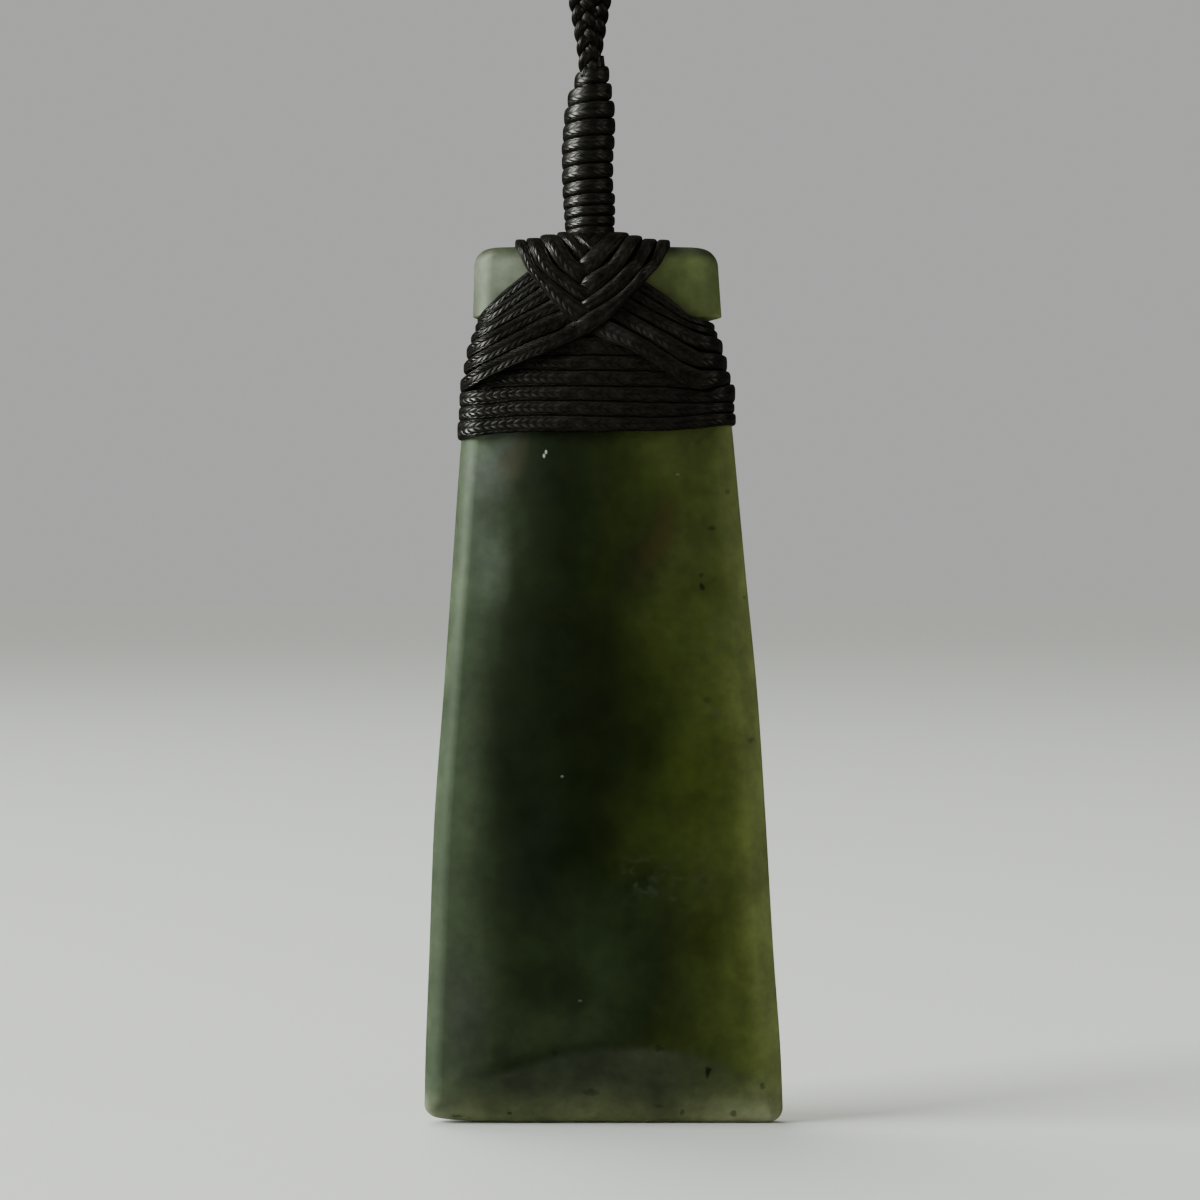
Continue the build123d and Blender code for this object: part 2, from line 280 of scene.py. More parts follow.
def new_material(name):
    """A material, its node tree and its shader."""
    material = bpy.data.materials.new(name)
    material.use_nodes = True
    return material, material.node_tree, material.node_tree.nodes["Principled BSDF"]


def math_node(tree, operation, first, second=0.0, third=0.0, clamp=False):
    """One arithmetic step between sockets or numbers."""
    inputs = {0: first, 1: second, 2: third}
    return add_node(tree, "ShaderNodeMath", inputs, operation=operation, use_clamp=clamp).outputs[0]


def remapped(tree, value, low, high, start, end, curve="LINEAR"):
    """A value read between low and high and given between start and end, which it never leaves."""
    inputs = {"Value": value, 1: low, 2: high, 3: start, 4: end}
    return add_node(tree, "ShaderNodeMapRange", inputs, interpolation_type=curve).outputs[0]


def bumped(tree, height, strength, distance, under=None):
    """A surface direction that a height tilts, by as much as a relief so deep, on top of the one under it."""
    inputs = {"Height": height, "Strength": strength, "Distance": distance}
    if under is not None:
        inputs["Normal"] = under
    return add_node(tree, "ShaderNodeBump", inputs).outputs[0]


def colour_ramp(tree, factor, stops):
    """A colour read off a row of (place, red, green, blue) stops, with no kink where it passes one."""
    made = add_node(tree, "ShaderNodeValToRGB", {"Fac": factor})
    made.color_ramp.interpolation = "B_SPLINE"
    elements = made.color_ramp.elements
    while len(elements) < len(stops):
        elements.new(0.5)
    for element, (place, *colour) in zip(elements, stops):
        element.position = place
        element.color = (*colour, 1)
    return made.outputs["Color"]


def mix_colours(tree, share, first, second, blend="MIX"):
    """The first colour, changed towards the second by a share."""
    inputs = {"Factor": share, 6: first, 7: second}
    return add_node(tree, "ShaderNodeMix", inputs, data_type="RGBA", blend_type=blend).outputs[2]


# The stone's colour, left to right: a pale thin edge, which is a painted highlight, the dark body, and the
# olive third where light comes through. The head is paler, with a painted highlight on its left and painted
# shade along its top rim; the bevel's paler grey is a painted reflection of the table, and the foot's paler
# edge is painted light through the thin stone. Broad tones drift through the body, three of them on the left
# a painted sheen, and specks of dark mineral, rust, pale wisps and small chips lie just under the front face.
# Across the stone: the pale left edge is a painted highlight, then the dark body and the olive right.
stone_tone_and_edge_light = [
    (0.00, 0.056, 0.074, 0.042), (0.035, 0.020, 0.032, 0.014), (0.09, 0.028, 0.040, 0.019),
    (0.17, 0.0100, 0.0160, 0.0060), (0.25, 0.0042, 0.0080, 0.0018), (0.37, 0.0030, 0.0060, 0.0010),
    (0.50, 0.0046, 0.0092, 0.0008), (0.65, 0.013, 0.020, 0.0014), (0.80, 0.036, 0.049, 0.007),
    (0.90, 0.054, 0.069, 0.010), (0.95, 0.080, 0.099, 0.018), (1.00, 0.175, 0.200, 0.065),
]
# The head's own paler tone, with a painted highlight over its left part.
head_tone_and_highlight = [
    (0.00, 0.11, 0.128, 0.088), (0.08, 0.165, 0.182, 0.138), (0.18, 0.19, 0.208, 0.158),
    (0.38, 0.11, 0.13, 0.07), (0.70, 0.108, 0.134, 0.043), (1.00, 0.125, 0.155, 0.055),
]
# The foot's pale edge is painted light that comes through the thin stone.
foot_edge_light = [
    (0.00, 0.20, 0.215, 0.145), (0.10, 0.130, 0.145, 0.066), (0.30, 0.105, 0.120, 0.052),
    (0.52, 0.105, 0.115, 0.050), (0.68, 0.120, 0.132, 0.058), (0.80, 0.160, 0.172, 0.080),
    (1.00, 0.270, 0.275, 0.170),
]
# The head rim's darker olive is painted shade.
head_rim_painted_shade = (0.036, 0.043, 0.025, 1)
# The bevel's grey is a painted reflection of the table.
bevel_painted_reflection = (0.036, 0.043, 0.028, 1)
wisp_grey = (0.046, 0.057, 0.032, 1)
rust = (0.050, 0.028, 0.008, 1)
speck_black = (0.004, 0.006, 0.003, 1)
chip_white = (0.55, 0.56, 0.50, 1)
Tone = namedtuple("Tone", "column row half_width half_height share red green blue")
# The tones at (492, 466), (482, 556) and (462, 1010) are a painted sheen, the window's soft reflection on the
# left of the face; the others are the stone's own tones.
tones_and_sheen = [Tone(*row) for row in (
    (492, 466, 38, 62, 0.76, 0.062, 0.069, 0.062), (690, 452, 78, 60, 0.75, 0.046, 0.058, 0.014),
    (482, 556, 32, 78, 0.82, 0.063, 0.078, 0.054), (545, 560, 40, 90, 0.50, 0.0065, 0.0110, 0.0020),
    (648, 560, 50, 88, 0.75, 0.004, 0.005, 0.002), (696, 556, 58, 104, 0.70, 0.027, 0.034, 0.008),
    (630, 640, 50, 96, 0.45, 0.007, 0.009, 0.0006), (586, 690, 50, 110, 0.60, 0.003, 0.004, 0.001),
    (704, 786, 54, 96, 0.80, 0.029, 0.041, 0.003), (640, 812, 56, 80, 0.60, 0.019, 0.029, 0.003),
    (528, 850, 42, 90, 0.70, 0.003, 0.006, 0.003), (600, 960, 120, 130, 0.85, 0.012, 0.021, 0.007),
    (706, 945, 34, 96, 0.75, 0.020, 0.029, 0.002), (462, 1010, 36, 96, 0.60, 0.020, 0.022, 0.019),
    (560, 1032, 96, 56, 0.75, 0.020, 0.031, 0.012),
)]
Spot = namedtuple("Spot", "column row half_width half_height share")
specks = [Spot(*row) for row in (
    (708, 1074, 3.8, 8.0, 0.90), (712, 528, 6.5, 3.0, 0.55), (701, 575, 4.0, 3.0, 0.60),
    (701, 587, 3.2, 4.2, 0.80), (659, 1050, 4.5, 4.0, 0.50), (555, 1054, 4.0, 4.0, 0.45),
    (763, 1087, 3.6, 4.6, 0.50), (659, 1107, 9.0, 3.0, 0.40), (683, 1114, 3.4, 4.4, 0.55),
    (734, 1115, 4.4, 3.4, 0.55), (509, 1115, 4.2, 2.6, 0.80), (457, 1118, 7.0, 2.4, 0.50),
    (590, 1094, 12.0, 4.0, 0.35), (752, 740, 7.0, 3.5, 0.40), (708, 700, 6.0, 5.0, 0.35),
    (728, 492, 5.0, 4.0, 0.40), (745, 597, 3.0, 3.0, 0.50),
)]
rust_patches = [Spot(*row) for row in ((656, 548, 22, 46, 0.42), (513, 462, 18, 40, 0.30))]
wisp_patches = [Spot(*row) for row in ((668, 882, 58, 38, 0.45), (720, 640, 34, 80, 0.30))]
wisps = [Spot(*row) for row in (
    (638, 888, 6.0, 8.0, 0.80), (674, 899, 8.0, 6.0, 0.70), (635, 873, 4.5, 10.0, 0.50),
    (640, 860, 27.0, 5.0, 0.45), (649, 892, 18.0, 5.0, 0.55), (657, 879, 11.0, 9.0, 0.55),
    (668, 869, 14.0, 6.0, 0.50), (678, 880, 8.0, 8.0, 0.60), (699, 879, 16.0, 6.0, 0.50),
    (675, 860, 7.0, 6.0, 0.35), (701, 862, 12.0, 5.0, 0.35), (717, 712, 10.0, 4.5, 0.70),
    (708, 703, 8.0, 4.5, 0.45), (626, 871, 7.0, 4.0, 0.35), (660, 705, 6.0, 4.0, 0.30),
)]
chips = [Spot(*row) for row in (
    (543.8, 455.4, 1.5, 2.6, 0.50), (545.8, 451.6, 1.5, 2.6, 0.50), (562, 777, 2.0, 1.6, 0.14),
    (580, 1002, 2.6, 1.4, 0.08), (678, 474, 2.4, 1.6, 0.08),
)]

# Noise scales are in waves to the metre. A shake is a scale and how far it moves a spot's place about.
drift_scale, drift_upright, drift_push, head_pull = 130, 1.8, 2.2, -0.09
cloud_scale, grain_scale, vein_scale, vein_width = 300, 1500, 520, 0.06
foot_scale, foot_waver, gloss_scale, gloss_waver = 300, 0.03, 330, 0.15
broad_shake, wispy_shake, rough_shake = (170, 4.5 * mm), (1100, 1.5 * mm), (1900, 0.6 * mm)
tone_depth, rust_depth, fleck_depth, wisp_strength = 12 * mm, 3 * mm, 1.2 * mm, 0.64
wave_scale, wave_strength, wave_relief = 160, 0.25, 0.10 * mm
polish_scale, polish_strength, polish_relief = 4200, 0.12, 0.01 * mm


def soft_spot(tree, place, spot, depth, softness):
    """How much a point lies inside a soft ellipsoid at the front face, as deep as depth: nothing from its
    skin outwards, and rising inwards in a smooth S over softness, a share of its half axes."""
    x, y, z = (float(value[0]) for value in face_point(np.array([spot.column]), np.array([spot.row])))
    size = (spot.half_width * pixel, depth, spot.half_height * pixel)
    moved = add_node(tree, "ShaderNodeMapping", {"Vector": place, "Location": (x, y, z), "Scale": size},
                     vector_type="TEXTURE").outputs[0]
    reach = add_node(tree, "ShaderNodeVectorMath", {0: moved}, operation="LENGTH").outputs["Value"]
    return remapped(tree, reach, 1.0, 1.0 - softness, 0.0, spot.share, "SMOOTHSTEP")


def spot_mask(tree, place, spots, softness, depth=fleck_depth):
    """The strongest of a list of soft spots at each point."""
    total = 0.0
    for spot in spots:
        total = math_node(tree, "MAXIMUM", soft_spot(tree, place, spot, depth, softness), total)
    return total


def nephrite():
    """Satin nephrite. The across ramp, whose pale left edge is a painted highlight, is read at a place that
    slow, upright noise pushes about. The head's ramp with its painted highlight on the left, the painted
    shade along the head's rim, the bevel's grey, a painted reflection, and the foot's ramp, painted light
    through its thin edge, are mixed in by their places, the tones, three of them a painted sheen, by soft
    ellipses that go through the stone, and clouds, wisps, rust, specks and chips are laid over them."""
    material, tree, shader = new_material("nephrite")
    place = add_node(tree, "ShaderNodeTexCoord").outputs["Object"]
    across, down, bevel = (add_node(tree, "ShaderNodeAttribute", attribute_name=name).outputs["Fac"]
                           for name in ("across", "down", "bevel"))

    def noise(scale, detail, roughness=0.5, upright=1.0, output="Fac"):
        """Noise, drawn out along the stone by upright."""
        stretch = {"Vector": place, "Scale": (1.0, 1.0, 1.0 / upright)}
        drawn = add_node(tree, "ShaderNodeMapping", stretch).outputs[0]
        inputs = {"Vector": drawn, "Scale": scale, "Detail": detail, "Roughness": roughness}
        return add_node(tree, "ShaderNodeTexNoise", inputs).outputs[output]

    def waver(*kind, **drawn):
        """Noise about nought, which pushes both ways."""
        return math_node(tree, "SUBTRACT", noise(*kind, **drawn), 0.5)

    def shaken(scale, reach):
        """The place, moved about by noise by as much as half of reach."""
        inputs = {0: noise(scale, 2.0, output="Color"), 1: (0.5, 0.5, 0.5)}
        shift = add_node(tree, "ShaderNodeVectorMath", inputs, operation="SUBTRACT").outputs[0]
        inputs = {0: shift, 1: (reach, reach, reach), 2: place}
        return add_node(tree, "ShaderNodeVectorMath", inputs, operation="MULTIPLY_ADD").outputs[0]

    def banded(value, stops):
        """A share read off (place, share) stops."""
        return colour_ramp(tree, value, [(at, share, share, share) for at, share in stops])

    from_right = math_node(tree, "SUBTRACT", 1.0, across)
    edge_hold = math_node(tree, "MULTIPLY", across, from_right)
    drift = math_node(tree, "MULTIPLY", waver(drift_scale, 3.0, upright=drift_upright), edge_hold)
    pushed = math_node(tree, "MULTIPLY_ADD", drift, drift_push, across)
    # Towards the head the ramp is read further to its left, so the painted highlight at the left edge reaches
    # further in.
    near_head = remapped(tree, down, 0.20, 0.50, head_pull, 0.0)
    pushed = math_node(tree, "MULTIPLY_ADD", near_head, from_right, pushed)
    colour = colour_ramp(tree, pushed, stone_tone_and_edge_light)

    broad_place, wispy_place, rough_place = (shaken(*way) for way in (broad_shake, wispy_shake, rough_shake))
    for tone in tones_and_sheen:
        share = soft_spot(tree, broad_place, tone, tone_depth, 1.0)
        colour = mix_colours(tree, share, colour, (tone.red, tone.green, tone.blue, 1))

    # The head's ramp is mixed in near the top; its pale left is a painted highlight.
    head_share = banded(down, [(0.0, 1.0), (0.07, 0.8), (0.14, 0.10), (0.21, 0.0)])
    colour = mix_colours(tree, head_share, colour, colour_ramp(tree, across, head_tone_and_highlight))
    # Painted shade: a darker olive along the head's top rim.
    rim_shade_share = banded(down, [(0.0, 1.0), (0.008, 0.9), (0.017, 0.0)])
    colour = mix_colours(tree, rim_shade_share, colour, head_rim_painted_shade)
    # Painted reflection of the table on the bevel, strongest across its middle.
    reflection_share = banded(across, [(0.05, 0.1), (0.30, 0.7), (0.70, 0.6), (0.95, 0.1)])
    colour = mix_colours(tree, math_node(tree, "MULTIPLY", bevel, reflection_share), colour, bevel_painted_reflection)
    # Painted light through the thin foot edge, mixed in towards the foot.
    foot_down = math_node(tree, "MULTIPLY_ADD", waver(foot_scale, 3.0), foot_waver, down)
    foot_light_share = banded(foot_down, [(0.935, 0.0), (0.965, 0.18), (0.985, 0.60), (1.0, 0.95)])
    colour = mix_colours(tree, foot_light_share, colour, colour_ramp(tree, across, foot_edge_light))

    clouds = remapped(tree, noise(cloud_scale, 5.0, 0.6), 0.35, 0.7, 0.80, 1.30)
    grain = remapped(tree, noise(grain_scale, 4.0, 0.6), 0.3, 0.7, 0.87, 1.14)
    for shade in (clouds, grain):
        colour = mix_colours(tree, 1.0, colour, shade, "MULTIPLY")
    from_vein = math_node(tree, "ABSOLUTE", waver(vein_scale, 4.0, 0.6))
    veins = remapped(tree, from_vein, 0.0, vein_width, 1.0, 0.18)
    veined = math_node(tree, "MULTIPLY", spot_mask(tree, broad_place, wisp_patches, 0.9), veins)
    wispy = math_node(tree, "MULTIPLY", spot_mask(tree, wispy_place, wisps, 1.0), wisp_strength)
    for mask, laid in (
        (math_node(tree, "MAXIMUM", wispy, veined), wisp_grey),
        (spot_mask(tree, broad_place, rust_patches, 1.0, rust_depth), rust),
        (spot_mask(tree, rough_place, specks, 0.55), speck_black),
        (spot_mask(tree, place, chips, 0.4), chip_white),
    ):
        colour = mix_colours(tree, mask, colour, laid)

    gloss = banded(across, [(0.0, 0.50), (0.06, 0.48), (0.17, 0.33), (0.88, 0.33), (1.0, 0.46)])
    uneven_gloss = math_node(tree, "MULTIPLY_ADD", waver(gloss_scale, 3.0), gloss_waver, gloss)
    waves = bumped(tree, noise(wave_scale, 2.0), wave_strength, wave_relief)
    polish = bumped(tree, noise(polish_scale, 2.0), polish_strength, polish_relief, waves)
    plugged(tree, shader, {
        "Base Color": colour, "Roughness": uneven_gloss, "Normal": polish, "IOR": 1.6,
        "Specular IOR Level": 0.21, "Specular Tint": (0.86, 1.0, 0.74, 1),
        "Subsurface Weight": 0.25, "Subsurface Radius": (0.7, 1.0, 0.35), "Subsurface Scale": 1.2 * mm,
    })
    return material


stone_grid, share_across, share_down, share_bevel = stone_rings()
stone = skin("stone_blade", stone_grid, across=share_across, down=share_down, bevel=share_bevel)
stone.data.materials.append(nephrite())
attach(stone, "root")
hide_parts("jade_blade")

# Lashing cord: a black waxed braid, pulled flat. Its yarns show as slanted lozenges in columns that lean
# left and right by turns, like knitted stitches. Everything below is tied with it.
cord_thick, cord_corner, cord_spread, least_flat = 0.66 * mm, 3.6, 1.03, 0.95
points_around, ring_step, unevenness = 36, 0.14 * mm, 0.022 * mm
pull_waves = ((3.1 * mm, 1), (1.9 * mm, -2), (1.3 * mm, 5))
yarn_columns, yarn_pitch, yarn_slant, yarn_round, low_yarns = 12, 0.48 * mm, 1.0, 3.0, 0.45
yarn_relief, thread_relief, fibre_relief = 0.075 * mm, 0.035 * mm, 0.012 * mm
rubbed_to, pressed_from, pressed_share = -7.0 * mm, 0.5 * mm, 0.28
cord_black, cord_streak = (0.0030, 0.0028, 0.0021, 1), (0.0098, 0.0083, 0.0058, 1)


def columns_joined(*columns):
    """Samples from their columns, where a number stands for a column of it. A cord's route has seven columns:
    place, outward direction and width."""
    return np.stack(np.broadcast_arrays(*columns), -1)


def run_along(points):
    """How far along a line of points each of them lies."""
    return np.concatenate([[0], np.cumsum(np.linalg.norm(np.diff(points, axis=0), axis=1))])


def sampled(rows, run, at):
    """A table whose rows lie at the places in run, read at other places."""
    return np.stack([np.interp(at, run, line) for line in rows.T], -1)


def unit(vectors):
    """Each of a row of vectors, made one long."""
    return vectors / np.linalg.norm(vectors, axis=1)[:, None]


def superellipse(angle, power):
    """A superellipse's points: the cosine and the sine of the angle, each raised to 2 / power in size."""
    return (np.sign(side) * np.abs(side) ** (2 / power) for side in (np.cos(angle), np.sin(angle)))


def pulled_uneven(around, along, length):
    """How a braid's surface dips where a hand pulled it less evenly, from 0 to 1: slow waves that wind round
    it and along it, a whole number of each so that a closed turn has no seam."""
    turns = (along * round(length / apart) + winds * around for apart, winds in pull_waves)
    return 0.5 + sum(np.sin(2 * pi * turn) for turn in turns) / (2 * len(pull_waves))


def braided_cord(name, route, thick=cord_thick, step=ring_step, stations=None, around=points_around,
                 relief=unevenness, closed_along=True, corner=cord_corner):
    """A flattened braid carried along a route. Each ring is a superellipse, its long axis across the route
    and square to the outward direction, drawn in a little unevenly. Rings come at even steps, or at the
    route's own samples where stations says so."""
    if closed_along:
        route = np.concatenate([route, route[:1]])
    run = run_along(route[:, :3])
    at = run if stations else np.linspace(0, run[-1], int(round(run[-1] / step)) + 1)
    route = sampled(route, run, at)
    along = at / run[-1] * round(run[-1] / yarn_pitch)
    if closed_along:
        route = route[:-1]
        forward = np.roll(route[:, :3], -1, axis=0) - np.roll(route[:, :3], 1, axis=0)
    else:
        forward = np.gradient(route[:, :3], axis=0)
    path, outward, width = route[:, :3], route[:, 3:6], route[:, 6:7]
    forward = unit(forward)
    outward = unit(outward - (outward * forward).sum(1)[:, None] * forward)
    sideways = np.cross(outward, forward)
    angle = np.linspace(0, 2 * pi, around, endpoint=False)
    wide, high = superellipse(angle, corner)
    dip = relief * pulled_uneven((angle / (2 * pi))[None, :], at[: len(path), None] / run[-1], run[-1])
    half_wide = width / 2 - dip
    half_high = np.minimum(thick, least_flat * width) / 2 - dip
    rings = (
        path[:, None, :] + (wide * half_wide)[..., None] * sideways[:, None, :]
        + (high * half_high)[..., None] * outward[:, None, :]
    )
    uv = np.meshgrid(np.linspace(0, 1, around + 1), along)
    return skin(name, rings, uv=uv, closed_along=closed_along)


def waxed_braid():
    """Black waxed braid. Its yarns are slanted lozenges in columns that lean left and right by turns: around
    the UV map there are yarn_columns, and along it each lozenge is one pitch long and leans by yarn_slant.
    They are a bump that catches light, with a wax shine on their tops, and every second column lies lower.
    They stand up on the left, where they are rubbed clean, and are pressed flat elsewhere. Fibres streak the
    cord lengthwise."""
    material, tree, shader = new_material("waxed_black_braid")
    map_place = add_node(tree, "ShaderNodeUVMap", uv_map="along").outputs[0]
    split = add_node(tree, "ShaderNodeSeparateXYZ", {0: map_place}).outputs

    def worked(operation, *values, **settings):
        """One arithmetic step."""
        return math_node(tree, operation, *values, **settings)

    def fibre(around, along, detail):
        """Noise drawn out along the cord: patches so many to the round and to the yarn pitch."""
        stretch = {"Vector": map_place, "Scale": (around, along, 1.0)}
        drawn = add_node(tree, "ShaderNodeMapping", stretch).outputs[0]
        inputs = {"Vector": drawn, "Scale": 1.0, "Detail": detail}
        return add_node(tree, "ShaderNodeTexNoise", inputs).outputs["Fac"]

    columns = worked("MULTIPLY", split["X"], yarn_columns)
    beside = worked("SUBTRACT", worked("FRACT", columns), 0.5)
    odd = worked("MODULO", worked("FLOOR", columns), 2.0)
    lean = worked("MULTIPLY_ADD", odd, -2 * yarn_slant, yarn_slant)
    ridge = worked("SUBTRACT", worked("FRACT", worked("MULTIPLY_ADD", lean, beside, split["Y"])), 0.5)
    fall = worked("MULTIPLY", worked("MULTIPLY", ridge, ridge), 4.0)
    edge = worked("POWER", worked("ABSOLUTE", worked("MULTIPLY", beside, 2.0)), yarn_round)
    yarn = worked("MULTIPLY", worked("SUBTRACT", 1.0, fall), worked("SUBTRACT", 1.0, edge), clamp=True)
    yarn = worked("MULTIPLY", yarn, worked("MULTIPLY_ADD", odd, 1.0 - low_yarns, low_yarns))

    streaks, fine, waxed = fibre(16.0, 0.45, 3.0), fibre(44.0, 1.6, 2.0), fibre(5.0, 0.6, 2.0)
    colour = mix_colours(tree, remapped(tree, streaks, 0.42, 0.66, 0.0, 1.0), cord_black, cord_streak)
    place = add_node(tree, "ShaderNodeTexCoord").outputs["Object"]
    from_left = add_node(tree, "ShaderNodeSeparateXYZ", {0: place}).outputs["X"]
    standing = remapped(tree, from_left, rubbed_to, pressed_from, 1.0, pressed_share, "SMOOTHSTEP")
    lozenges = bumped(tree, yarn, standing, yarn_relief)
    threads = bumped(tree, streaks, 0.6, thread_relief, lozenges)
    plugged(tree, shader, {
        "Base Color": colour, "Roughness": remapped(tree, waxed, 0.35, 0.65, 0.30, 0.44),
        "Specular IOR Level": remapped(tree, yarn, 0.0, 0.8, 0.18, 0.67),
        "Specular Tint": (1.0, 0.98, 0.88, 1), "Normal": bumped(tree, fine, 0.3, fibre_relief, threads),
    })
    return material


lashing_black = waxed_braid()
edge_power, edge_samples, nudge = 2.3, 40, 0.1 * mm


def round_the_edge(from_x, from_y, from_z, side_x, side_z, from_width, side_width):
    """Half a turn round one side of the stone, front to back: a superellipse in plan through the last point
    on the front face and the side's outermost point, which it passes at the side's height."""
    out, back = superellipse(np.linspace(-pi / 2, pi / 2, edge_samples), edge_power)
    return columns_joined(
        from_x + (side_x - from_x) * out, -from_y * back, from_z + (side_z - from_z) * out,
        np.sign(side_x) * out, back, 0, from_width + (side_width - from_width) * out,
    )


def on_the_face(columns, rows, widths, layers):
    """A stretch of cord on the front face: the face's dome, with half a cord's thickness and the given number
    of cords under it. Columns, rows and widths are the photo's."""
    x, y, z = face_point(columns, rows, (layers + 0.5) * cord_thick)
    down = np.maximum(head_z - z, 0)
    rise = (face_depth(x + nudge, down) - face_depth(x - nudge, down)) / (2 * nudge)
    return columns_joined(x, y, z, -rise, -1, 0, widths * pixel * cord_spread)


def joined(stretches, soft=5, sample=0.06 * mm):
    """Stretches of a route joined in a ring, resampled evenly and averaged over a few samples, which takes
    the corners off the joints."""
    ring = np.concatenate([stretch[:-1] for stretch in stretches])
    closed = np.concatenate([ring, ring[:1]])
    run = run_along(closed[:, :3])
    even = sampled(closed, run, np.arange(0, run[-1], sample))
    for _ in range(2):
        even = sum(np.roll(even, k, axis=0) for k in range(-soft, soft + 1)) / (2 * soft + 1)
    return even


def mirrored(route):
    """The same stretch on the stone's other face, run the other way."""
    return route[::-1] * np.array([1, -1, 1, 1, -1, 1, 1])


def bound(made, slot, *replaced):
    """Give a finished cord its material and its place in the part."""
    made.data.materials.append(lashing_black)
    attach(made, "root")
    if replaced:
        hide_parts(*replaced)


def one_piece(name, parts):
    """Several meshes joined in one object."""
    with bpy.context.temp_override(active_object=parts[0], selected_editable_objects=parts):
        bpy.ops.object.join()
    parts[0].name = name
    return parts[0]


# Waist wraps: six turns pulled side by side round the notched waist. The lower three show whole; the upper
# three lie deeper and under the crossed cords. The seams between them are rows of the photo at these
# columns, from the lowest turn's lower edge up, and each turn's outside passes the sides at its columns.
wrap_columns = [459, 475, 490, 516, 560, 600, 637, 665, 690, 715, 735]
wrap_seams = [
    [440, 436, 433.5, 432, 431.2, 431.4, 430.4, 430.4, 428.5, 426.5, 425.4],
    [421, 419.5, 418, 415.7, 415.1, 416, 416.6, 417, 415.4, 412.8, 413],
    [407, 405.4, 403.8, 400.8, 400.4, 400.7, 401.7, 402.2, 402.7, 402.6, 402.2],
    [392, 391, 388.4, 386.6, 385.7, 386, 386.4, 386.6, 388.9, 389, 384],
    [377, 376, 373, 369.5, 370.2, 370, 370.6, 371.2, 373, 372, 369],
    [362, 361, 359, 356, 355, 355, 355.5, 356, 358, 357, 355],
    [347, 346, 343.5, 340, 337, 336, 338, 341, 343, 343, 341],
]
Sides = namedtuple("Sides", "left right")
wrap_sides = [
    Sides(456.6, 736.6), Sides(457.9, 735.2), Sides(458.6, 736.0), Sides(467.0, 727.0), Sides(469.0, 724.0),
    Sides(471.0, 721.0),
]
turn_room, wrap_samples, wrap_lift = 30, 260, 0.04


def pressed_in(column):
    """The middle of a cord whose outside passes a column of the photo, left or right of the hanging line."""
    x = place_of(column, 0)[0]
    return x - np.sign(x) * cord_thick / 2


for number, (lower, upper, sides) in enumerate(zip(wrap_seams, wrap_seams[1:], wrap_sides), start=1):
    columns = np.linspace(sides.left + turn_room, sides.right - turn_room, wrap_samples)
    low, high = (smooth_through(columns, wrap_columns, seam) for seam in (lower, upper))
    front = on_the_face(columns, (low + high) / 2, low - high, wrap_lift)
    turns = []
    for end, side_column, k in ((front[-1], sides.right, -1), (front[0], sides.left, 0)):
        side_z = place_of(0, (lower[k] + upper[k]) / 2)[1]
        side_width = (lower[k] - upper[k]) * pixel * cord_spread
        turns.append(round_the_edge(*end[:3], pressed_in(side_column), side_z, end[6], side_width))
    route = joined([front, turns[0], mirrored(front), turns[1][::-1]])
    bound(braided_cord(f"waist_turn_{number}", route), "lashing_cord", f"waist_wrap_{number}")

# Crossed cords: pulled over the head's top edge, down across the face, round the notch and up the back, so
# each is one closed turn. Six fall left and five fall right, and they are woven: a cord falling right lies
# over as many of the others as its own number, counted from the middle, and under the rest. The seams
# between neighbours are points of the photo from the head's top edge to the side, outermost seam first.
left_seams = [
    [(671, 241), (670, 250), (651, 274), (629, 298), (612, 317), (586, 334.5), (560, 347), (535, 357.3),
     (509, 368), (485, 379.2), (464, 389.8), (458.5, 396)],
    [(657, 241), (653, 251), (638, 271.6), (616, 294.4), (594, 308.5), (577, 318.2), (559.7, 329.6),
     (532.6, 340.2), (503, 354.4), (473.6, 368.5), (460.6, 376.2)],
    [(643, 239), (633.6, 253.2), (619.5, 271.6), (605.4, 283.5), (590, 295.5), (575, 304), (556, 312),
     (537, 320), (520.8, 329.6), (488.9, 346.7), (465.3, 360.3)],
    [(627, 237), (618.4, 248.9), (606.5, 263), (589, 273.5), (572, 286), (550.3, 299), (528, 311),
     (506.6, 322.5), (479.5, 337.9), (466.5, 345)],
    [(613, 233), (605.4, 239.1), (590, 251), (572, 264.5), (552, 278), (537.9, 288.3), (513.7, 305.4),
     (497.2, 316.6), (471.2, 333)],
    [(600, 233), (585, 245), (562, 259), (545, 270.5), (531.4, 280), (506.6, 298.3), (481.9, 315.5),
     (475.5, 323.5)],
    [(588, 232), (572, 244), (548, 258), (526.7, 271.2), (500.7, 291.9), (485.4, 301.8), (479, 312),
     (475.5, 319)],
]
